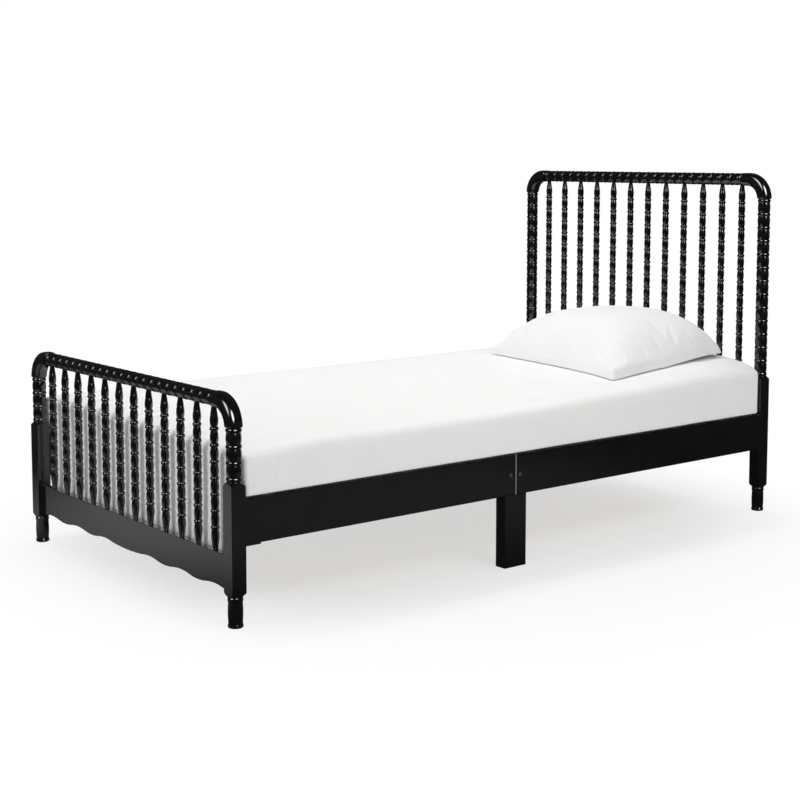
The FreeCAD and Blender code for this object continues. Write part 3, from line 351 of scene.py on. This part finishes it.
HEAD_CROWN = 0.031          # the top's rise along the middle of the head
FAR_SWELL = 0.45            # the crown has fallen to nothing this far out on the far side
NEAR_SWELL = 0.539          # and on the near side, where it stays full almost to the edge
EDGE_SAG = 0.017            # the long edges hang this low towards the foot
EDGE_SAG_AT = 0.537         # measured this far out
PILLOW_RISE = 0.014         # a further rise under the pillow
FOOT_SAG = 0.016            # the fall of the last part at the foot, more of it on the near side


def plump(x, y):
    """How far the mattress's top stands over a flat one: full towards the head, low along its edges."""
    head = ease(y, -0.2, 0.9)
    swell = np.where(x < 0, 1 - np.abs(x / FAR_SWELL) ** 3, 1 - np.abs(x / NEAR_SWELL) ** 8)
    sides = head * HEAD_CROWN * swell - (1 - head) * EDGE_SAG * np.abs(x / EDGE_SAG_AT) ** 5
    under_pillow = PILLOW_RISE * ease(y, 0.3, 0.9) * ease(x, -0.1, 0.3) * np.maximum(swell, 0)
    return sides + under_pillow - FOOT_SAG * ease(-y, 0.72, 0.95) * (0.6 + 0.8 * x)


EDGE_ROLL = 0.026           # the radius of the soft top edge, halfway along the bed
EDGE_ROLL_TAPER = 0.004     # it loses this much for each metre towards the head
CORNER_TIGHT = 0.62         # the share of it that is lost at the four corners


def edge_roll(x, y):
    """The radius of the soft top edge, larger at the foot and tight at the four corners."""
    at_corner = ease(np.abs(x), 0.42, 0.52) * ease(np.abs(y), 0.84, 0.94)
    return (EDGE_ROLL - EDGE_ROLL_TAPER * y) * (1 - CORNER_TIGHT * at_corner)


SHEET_OVER_RAIL = 0.0185    # the soft edge lies this far out over the side rails
SHEET_TURN = 0.002          # it starts to turn in behind a rail this far under the rail's top
SHEET_TUCK = 0.013          # and lies behind it from here on down
SHEET_GAP = 0.002           # the room between the sheet and the rails and brackets
SHEET_SIDE_HEM = 0.0063     # the side hems, over the mattress's underside
SHEET_CORNER = 0.013        # the round corners over the rails
SHEET_LOW_CORNER = 0.032    # and between them
SHEET_RUFFLE = 0.0011       # the unevenness of the sides
SHEET_HANG = 0.003          # and of the loose cloth under the tuck
SHEET_SEAM = -0.862         # the upright seam beside each foot corner
SHEET_SEAM_DEPTH = 0.003    # how far it draws the side in
SHEET_SEAM_WIDTH = 0.0045   # and over which distance to either side
SHEET_CLOTH = 0.0012        # the thickness of the cloth


def sheet_rows(high, rail, tuck, hem):
    """The heights of the sheet's rows of points, close together on the soft edge and over the rail."""
    edge = high - np.array([0.004, 0.008, 0.012, 0.016, 0.021, 0.027, 0.034, 0.042, 0.050])
    side = np.linspace(high - 0.058, rail + 0.038, 7)
    over = rail + np.array([0.030, 0.022, 0.015, 0.010, 0.0066, 0.0045, 0.0034, 0.0026, 0.0005])
    turn = rail - np.array([SHEET_TURN, 0.005, 0.009])
    hanging = [lambda rim, share=share: tuck + share * (hem(rim) - tuck) for share in np.linspace(0.12, 1, 9)]
    return [high, *edge, *side, *over, *turn, tuck, *hanging]


def sheet_side(y, z, half_x, tucked):
    """How far out the sheet's sides are: full over the rail's top, in behind the rail under it, and further
    in beside the foot brackets."""
    rail_low, rail_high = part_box("side_rail_right_foot")
    bracket_low, bracket_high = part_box("foot_bracket_right")
    rail = rail_high.z
    out = np.interp(z, rail + np.array([-SHEET_TURN, 0.0022, 0.0030, 0.0045, 0.010]),
                    [rail_low.x - SHEET_GAP, rail_low.x + 0.002, half_x - 0.003, half_x - 0.0008, half_x])
    beside = 1 - ease(y, bracket_high.y + 0.004, bracket_high.y + 0.045)
    behind = tucked + beside * (bracket_low.x - SHEET_GAP - tucked)
    return out + (behind - out) * ease(rail - SHEET_TURN - z, 0.0, SHEET_TUCK - SHEET_TURN)


def sheet_creases(points, high, rail, tuck):
    """How far the sheet's sides stand out: shallow ruffles, the loose cloth under the tuck and the seam."""
    free = ease(high - points[:, 2], 0.03, 0.09)
    ruffle = waves(points * [1, 1, 0.35], 0.23, 5) * SHEET_RUFFLE - SHEET_RUFFLE
    hang = ease(tuck - points[:, 2], 0.0, 0.1) * waves(points[:, :2], 0.19, 11) * SHEET_HANG
    seam = -SHEET_SEAM_DEPTH * np.exp(-((points[:, 1] - SHEET_SEAM) / SHEET_SEAM_WIDTH) ** 2)
    seam *= ease(points[:, 2], rail - 0.01, rail + 0.02)
    seam *= 1 - ease(points[:, 2], high - 0.05, high - 0.02)
    return free * ruffle + hang + seam


def bed_sheet():
    """A white sheet pulled smooth over the mattress. It lies over the side rails, is tucked in behind
    them, and hangs down behind the apron at the foot."""
    low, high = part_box("fitted_sheet")
    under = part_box("mattress")[0].z
    rail_low, rail_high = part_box("side_rail_right_foot")
    rail = rail_high.z
    tuck = rail - SHEET_TUCK
    half_x, half_y = rail_low.x + SHEET_OVER_RAIL, high.y + 0.001

    def hem(rim):
        """The height of the sheet's lower edge: low along the foot, short elsewhere."""
        at_foot = 1 - ease(np.abs(rim[:, 0]), half_x - 0.020, half_x - 0.003)
        drop = np.where(rim[:, 1] < 0.004 - half_y, at_foot, 0)
        return under + SHEET_SIDE_HEM + drop * (low.z - under - SHEET_SIDE_HEM)

    flat, faces, _ = block(half_x, half_y, sheet_rows(high.z, rail, tuck, hem))
    corner = np.interp(flat[:, 2], [tuck, rail - SHEET_TURN], [SHEET_LOW_CORNER, SHEET_CORNER])
    points, way, side = rounded(flat, half_x, half_y, high.z, corner, edge_roll(flat[:, 0], flat[:, 1]))
    points[:, 0] *= np.where(side, sheet_side(points[:, 1], points[:, 2], half_x, high.x) / half_x, 1)
    points[:, 2] += plump(points[:, 0], points[:, 1]) * ease(points[:, 2], rail + 0.02, high.z - 0.04)
    points[:, :2] += np.where(side, sheet_creases(points, high.z, rail, tuck), 0)[:, None] * way
    inside = 1 - ease(np.maximum(np.abs(points[:, 0]) / half_x, np.abs(points[:, 1]) / half_y), 0.9, 0.97)
    points[:, 2] += np.where(side, 0, inside * (waves(points, 0.5, 8) * 0.001 - 0.0011))

    piece = mesh_piece("bed_sheet", points, faces, sheet_cotton, "mattress", "sheet", "fitted_sheet")
    cloth = piece.modifiers.new("cloth", "SOLIDIFY")
    cloth.thickness = SHEET_CLOTH
    cloth.offset = -1


MATTRESS_SLACK = 0.0035         # its faces start this far inside its solid, to leave room for the sheet
MATTRESS_FOOT_CORNER = 0.078    # the radius of its upright edges at the foot
MATTRESS_HEAD_CORNER = 0.030    # and at the head
MATTRESS_LOW_ROLL = 0.018       # the radius of its lower edge
MATTRESS_ROLL_LESS = 0.004      # its top edge is this much tighter than the sheet's


def mattress():
    """The mattress under the sheet: a firm block in ticking."""
    low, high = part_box("mattress")
    half_x, half_y, top = high.x - MATTRESS_SLACK, high.y - MATTRESS_SLACK, high.z - MATTRESS_SLACK
    levels = [top, *np.linspace(top - 0.003, top - 0.03, 8), *np.linspace(top - 0.045, low.z + 0.03, 8),
              *np.linspace(low.z + 0.024, low.z, 7)]
    flat, faces, rim = block(half_x, half_y, levels)
    corner = np.where(flat[:, 1] < 0, MATTRESS_FOOT_CORNER, MATTRESS_HEAD_CORNER)
    roll = edge_roll(flat[:, 0], flat[:, 1]) - MATTRESS_ROLL_LESS
    points, way, side = rounded(flat, half_x, half_y, top, corner, roll)
    tuck = np.maximum(low.z + MATTRESS_LOW_ROLL - points[:, 2], 0)
    drawn_in = MATTRESS_LOW_ROLL - np.sqrt(np.maximum(MATTRESS_LOW_ROLL ** 2 - tuck ** 2, 0))
    points[:, :2] -= np.where(side, drawn_in, 0)[:, None] * way
    points[:, 2] += plump(points[:, 0], points[:, 1]) * ease(points[:, 2], top - 0.12, top - 0.02)
    middle = len(points)
    points = np.concatenate([points, [[0, 0, low.z]]])
    faces += [(here, middle, after) for here, after in zip(rim, np.roll(rim, -1))]
    piece = mesh_piece("mattress_block", points, faces, ticking, "mattress", "ticking", "mattress")


# The corners of the case's seam seen from above, from the foot on the far side and round by the near side
PILLOW_CORNERS = ((-0.193, 0.504), (0.420, 0.415), (0.401, 0.905), (-0.165, 0.915))
PILLOW_SQUARES = (90, 64)       # mesh squares from end to end, and from front to back
PILLOW_END_DRAW = 0.010         # its ends pull in by this share between their corners
PILLOW_LONG_DRAW = 0.014        # and so do its long sides
PILLOW_SEAM = 0.032             # the seams stand this high over the bed
PILLOW_CROWN = 0.143            # the top over the bed, before it fills out
PILLOW_SWELL = 0.008            # no point moves further than this as it fills out
PILLOW_HEM = 0.032              # the flat hem outside the seams
PILLOW_HEM_WAVE = 0.0022        # the hem's edge strays this far
PILLOW_CLOTH = 0.0008           # one layer of the case
PILLOW_EAR = 0.012              # the near corner at the head stands up this far
PILLOW_EAR_REACH = 0.25         # and lifts the case this far round it
PILLOW_BACK = 0.940             # what lies beyond this is pressed in by the headboard
PILLOW_PRESS_IN = 0.75          # the share of it that goes back towards the foot
PILLOW_PRESS_UP = 0.5           # and the share that goes up


def fullness(u, v):
    """How full the case is, from 0 at its seams to 1. It is blunt at the far end and along the head, and
    slopes further in at the near end and along the foot."""
    far, near = (1 - np.abs(u) ** 3.1) ** 0.50, (1 - np.abs(u) ** 2.6) ** (0.74 - 0.16 * v)
    foot, head = (1 - np.abs(v) ** 2.6) ** (0.70 + 0.12 * u), (1 - np.abs(v) ** 4.6) ** 0.47
    return np.where(u < 0, far, near) * np.where(v < 0, foot, head)


def pillow_layers():
    """The upper and lower cloth of the case between its seams, with the grid of each."""
    across, along = PILLOW_SQUARES
    u, v = np.meshgrid(np.linspace(-1, 1, across + 1), np.linspace(-1, 1, along + 1), indexing="ij")
    s = (1 + u * (1 - PILLOW_END_DRAW * (1 - v ** 2))) / 2
    t = (1 + v * (1 - PILLOW_LONG_DRAW * (1 - u ** 2))) / 2
    shares = ((1 - s) * (1 - t), s * (1 - t), s * t, (1 - s) * t)
    x, y = (sum(share * corner[way] for share, corner in zip(shares, PILLOW_CORNERS)) for way in (0, 1))
    seam = PILLOW_SEAM * (1 - 0.05 * np.abs(u * v) ** 6)
    upper = seam + (PILLOW_CROWN - PILLOW_SEAM) * fullness(u, v)
    lower = seam * (1 - (1 - np.abs(u) ** 7) * (1 - np.abs(v) ** 7))
    grid = np.arange(u.size).reshape(u.shape)
    inside = np.zeros_like(grid, bool)
    inside[1:-1, 1:-1] = True
    below = grid.copy()
    below[inside] = u.size + np.arange(inside.sum())
    points = np.concatenate([np.column_stack([x.ravel(), y.ravel(), upper.ravel()]),
                             np.column_stack([x[inside], y[inside], lower[inside]])])
    return points, grid, below


def filled(points, faces, rim):
    """The case filled by a cloth simulation, held along its seams. No point goes further than a cap."""
    mesh = bpy.data.meshes.new("case")
    mesh.from_pydata([tuple(p) for p in points], [], faces)
    case = bpy.data.objects.new("case", mesh)
    scene.collection.objects.link(case)
    case.vertex_groups.new(name="seams").add(rim.tolist(), 1.0, "REPLACE")
    cotton = case.modifiers.new("cloth", "CLOTH")
    feel = cotton.settings
    feel.quality = 8
    feel.mass = 0.2
    feel.tension_stiffness = feel.compression_stiffness = 40
    feel.shear_stiffness = 12
    feel.bending_stiffness = 3.0
    feel.vertex_group_mass = "seams"
    feel.shrink_min = -0.012
    feel.use_pressure = True
    feel.uniform_pressure_force = 4
    feel.effector_weights.gravity = 0
    cotton.point_cache.frame_end = 30
    for step in range(1, 23):
        scene.frame_set(step)
    swollen = case.evaluated_get(bpy.context.evaluated_depsgraph_get()).to_mesh()
    place = np.empty(len(points) * 3)
    swollen.vertices.foreach_get("co", place)
    bpy.data.objects.remove(case)
    scene.frame_set(1)
    moved = place.reshape(-1, 3) - points
    reach = np.linalg.norm(moved, axis=1)
    return points + moved * (np.minimum(reach, PILLOW_SWELL) / np.maximum(reach, 1e-9))[:, None]


def hem_rings(seam, out):
    """Rings of points of the flat double hem: from the seam to its edge on top, and back underneath."""
    double = [0, 0, 2 * PILLOW_CLOTH]
    fall = np.minimum(seam[:, 2] - 2 * PILLOW_CLOTH, PILLOW_HEM * 0.96)
    run = np.sqrt(PILLOW_HEM ** 2 - fall ** 2)
    wave = waves(seam[:, :2], 0.11, 21) * PILLOW_HEM_WAVE
    rings = []
    for share in (0.12, 0.3, 0.5, 0.7, 0.88, 1.0):
        reach = run * (1 - (1 - share) ** 1.5) + wave * share ** 2
        level = seam[:, 2] - fall * share ** 1.2
        rings.append(np.column_stack([seam[:, :2] + out * reach[:, None], level]))
    return rings + [ring - double for ring in [*reversed(rings), seam]]


def pillow():
    """A filled pillow in a case, with a flat double hem that droops to the bed all round."""
    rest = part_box("pillow")[0].z
    points, upper, lower = pillow_layers()
    rim = rim_of(upper)
    points = filled(points, quads(upper, True) + quads(lower, False), rim)
    points[:, 2] = np.maximum(points[:, 2], 0)

    ends = np.zeros((*upper.shape, 2))
    ends[0, :, 0], ends[-1, :, 0], ends[:, 0, 1], ends[:, -1, 1] = -1, 1, -1, 1
    out = ends.reshape(-1, 2)[rim]
    faces = quads(upper, True)
    last = rim
    for ring in hem_rings(points[rim], out):
        index = len(points) + np.arange(len(rim))
        points = np.concatenate([points, ring])
        faces += between(last, index)
        last = index
    twin = dict(zip(rim.tolist(), last.tolist()))
    faces += [[twin.get(corner, corner) for corner in face] for face in quads(lower, False)]

    from_ear = np.linalg.norm(points[:, :2] - PILLOW_CORNERS[2], axis=1)
    ear = PILLOW_EAR * (1 - ease(from_ear, 0.0, PILLOW_EAR_REACH))
    points[:, 2] += rest + plump(points[:, 0], points[:, 1]) + ear
    pressed = np.maximum(points[:, 1] - PILLOW_BACK, 0)
    points[:, 1] -= pressed * PILLOW_PRESS_IN
    points[:, 2] += pressed * PILLOW_PRESS_UP
    piece = mesh_piece("pillow_case", points, faces, pillow_cotton, "pillow", "pillow_case", "pillow")
    smooth = piece.modifiers.new("soft", "SUBSURF")
    smooth.levels = smooth.render_levels = 1


bed_sheet()
mattress()
pillow()


# Studio

FLOOR_HALF = 40.0               # half the floor's width
MIRRORED_FLOOR = 0.04           # how bright the floor glows in the lacquer's reflections outside the painted pools of light
# The painted pools of light, glowing patches on the floor seen only in the lacquer: middle, half-widths and
# brightness
SIDE_PAINTED_POOL = ((1.4, 0.0, 0.0), (0.8, 1.3, 1.0), 0.14)
FOOT_PAINTED_POOL = ((-0.4, -1.6, 0.0), (1.0, 0.75, 1.0), 0.47)


def floor():
    """A pale floor, white away from the bed, that keeps the bed's shadow. In the lacquer's reflections it
    shows two painted pools of light that light nothing, a weak one at the near side and a brighter one in
    front of the foot."""
    mesh = bpy.data.meshes.new("studio_floor")
    ends = ((-1, -1), (1, -1), (1, 1), (-1, 1))
    mesh.from_pydata([(x * FLOOR_HALF, y * FLOOR_HALF, 0) for x, y in ends], [], [(0, 1, 2, 3)])
    item = bpy.data.objects.new("studio_floor", mesh)
    scene.collection.objects.link(item)
    made, tree, shader, place = finish("white_painted_studio_floor")
    tree.nodes.remove(shader)
    ray = add(tree, "LightPath").outputs
    away = add(tree, "VectorMath", {0: place}, operation="LENGTH").outputs["Value"]
    glow = add(tree, "MapRange", {"Value": away, "From Min": 0.7, "From Max": 1.45, "To Min": 0.6,
                                  "To Max": 1.0}, interpolation_type="SMOOTHSTEP").outputs["Result"]
    white = add(tree, "Emission", {"Color": hue("#ffffff"), "Strength": 1.0}).outputs[0]
    matt = add(tree, "BsdfDiffuse", {"Color": hue("#f2f2f2")}).outputs[0]
    seen = add(tree, "MixShader", {0: glow, 1: matt, 2: white}).outputs[0]
    # painted pools of light: the floor glows here only for glossy rays, and lights nothing
    painted_pool_glow = MIRRORED_FLOOR
    for middle, spread, light in (SIDE_PAINTED_POOL, FOOT_PAINTED_POOL):
        aside = add(tree, "Mapping", {"Vector": place, "Location": middle, "Scale": spread},
                    vector_type="TEXTURE").outputs["Vector"]
        aside = add(tree, "VectorMath", {0: aside}, operation="LENGTH").outputs["Value"]
        painted_pool_glow = add(tree, "MapRange", {"Value": aside, "From Min": 0.35, "From Max": 1.15, "To Min": light,
                                      "To Max": painted_pool_glow}, interpolation_type="SMOOTHSTEP").outputs["Result"]
    painted_pools = add(tree, "Emission", {"Color": hue("#ffffff"), "Strength": painted_pool_glow}).outputs[0]
    mirrored = add(tree, "MixShader", {0: ray["Is Glossy Ray"], 1: matt, 2: painted_pools}).outputs[0]
    straight = add(tree, "Math", {0: ray["Is Camera Ray"], 1: ray["Is Transmission Ray"]},
                   operation="MAXIMUM").outputs[0]
    both = add(tree, "MixShader", {0: straight, 1: mirrored, 2: seen}).outputs[0]
    tree.links.new(both, tree.nodes["Material Output"].inputs["Surface"])
    mesh.materials.append(made)


FILL_LIGHT = 0.45               # the soft light from all round
# The bright windows in the lacquer: the way to each, and its brightness
SIDE_WINDOW = ((0.845, -0.074, 0.53), 20.0)
FOOT_WINDOW = ((-0.03, -0.82, 0.57), 10.0)
# Each fades in between these two angles from its middle
WINDOW_EDGE = math.cos(math.radians(22))
WINDOW_FULL = math.cos(math.radians(8))


def surround():
    """White behind the bed, soft fill light from all round, and a dim room with two bright windows, one at
    the near side and one beyond the foot, in the lacquer's reflections."""
    world = bpy.data.worlds.new("studio")
    scene.world = world
    world.use_nodes = True
    tree = world.node_tree
    ray = add(tree, "LightPath").outputs
    way = add(tree, "TexCoord").outputs["Generated"]
    height = add(tree, "SeparateXYZ", {0: way}).outputs["Z"]
    room = add(tree, "MapRange", {"Value": height, "From Min": 0.0, "From Max": 0.16,
                                  "To Min": 0.10, "To Max": 0.04}).outputs["Result"]
    for window, light in (SIDE_WINDOW, FOOT_WINDOW):
        near = add(tree, "VectorMath", {0: way, 1: window}, operation="DOT_PRODUCT").outputs["Value"]
        room = add(tree, "MapRange", {"Value": near, "From Min": WINDOW_EDGE, "To Min": room,
                                      "From Max": WINDOW_FULL, "To Max": light}).outputs["Result"]
    dim = add(tree, "Mix", {0: ray["Is Glossy Ray"], 2: FILL_LIGHT, 3: room}).outputs[0]
    straight = add(tree, "Math", {0: ray["Is Camera Ray"], 1: ray["Is Transmission Ray"]},
                   operation="MAXIMUM").outputs[0]
    total = add(tree, "Mix", {0: straight, 2: dim, 3: 1.0}).outputs[0]
    back = tree.nodes["Background"]
    back.inputs["Color"].default_value = hue("#ffffff")
    tree.links.new(total, back.inputs["Strength"])


def softbox(name, place, target, width, height, radiance):
    """A soft rectangular lamp of an even brightness, aimed at a point, and not seen in the lacquer."""
    lamp = bpy.data.lights.new(name, "AREA")
    lamp.shape = "RECTANGLE"
    lamp.size, lamp.size_y = width, height
    lamp.energy = radiance * math.pi * width * height
    item = bpy.data.objects.new(name, lamp)
    item.location = place
    item.rotation_mode = "QUATERNION"
    item.rotation_quaternion = (Vector(target) - Vector(place)).to_track_quat("-Z", "Y")
    item.visible_camera = False
    item.visible_glossy = False
    scene.collection.objects.link(item)


CAMERA_PLACE = (3.5577, -2.8815, 1.1243)
CAMERA_DOWN = 5.608             # degrees below level
CAMERA_TURN = 51.563            # degrees round from looking along the bed to its head
CAMERA_LENS = 68.987            # millimetres, on a sensor 36 mm wide


def camera():
    """The photograph's viewpoint."""
    data = bpy.data.cameras.new("camera")
    data.sensor_width = 36.0
    data.lens = CAMERA_LENS
    data.shift_y = -0.12
    item = bpy.data.objects.new("camera", data)
    item.location = CAMERA_PLACE
    item.rotation_euler = (math.radians(90 - CAMERA_DOWN), 0, math.radians(CAMERA_TURN))
    scene.collection.objects.link(item)
    scene.camera = item


floor()
surround()
softbox("over_foot", (-0.6, -0.8, 3.0), (0.0, -0.4, 0.4), 0.8, 0.8, 12.5)
softbox("over_head", (-0.6, 1.2, 3.0), (0.0, 0.6, 0.4), 0.8, 0.8, 8.5)
softbox("right", (2.7, -0.2, 2.3), (0.3, -0.2, 0.4), 1.6, 0.8, 6.0)
softbox("front", (0.3, -4.2, 1.3), (0.0, -0.95, 0.35), 0.9, 0.9, 12.5)
camera()
scene.view_settings.view_transform = "Standard"
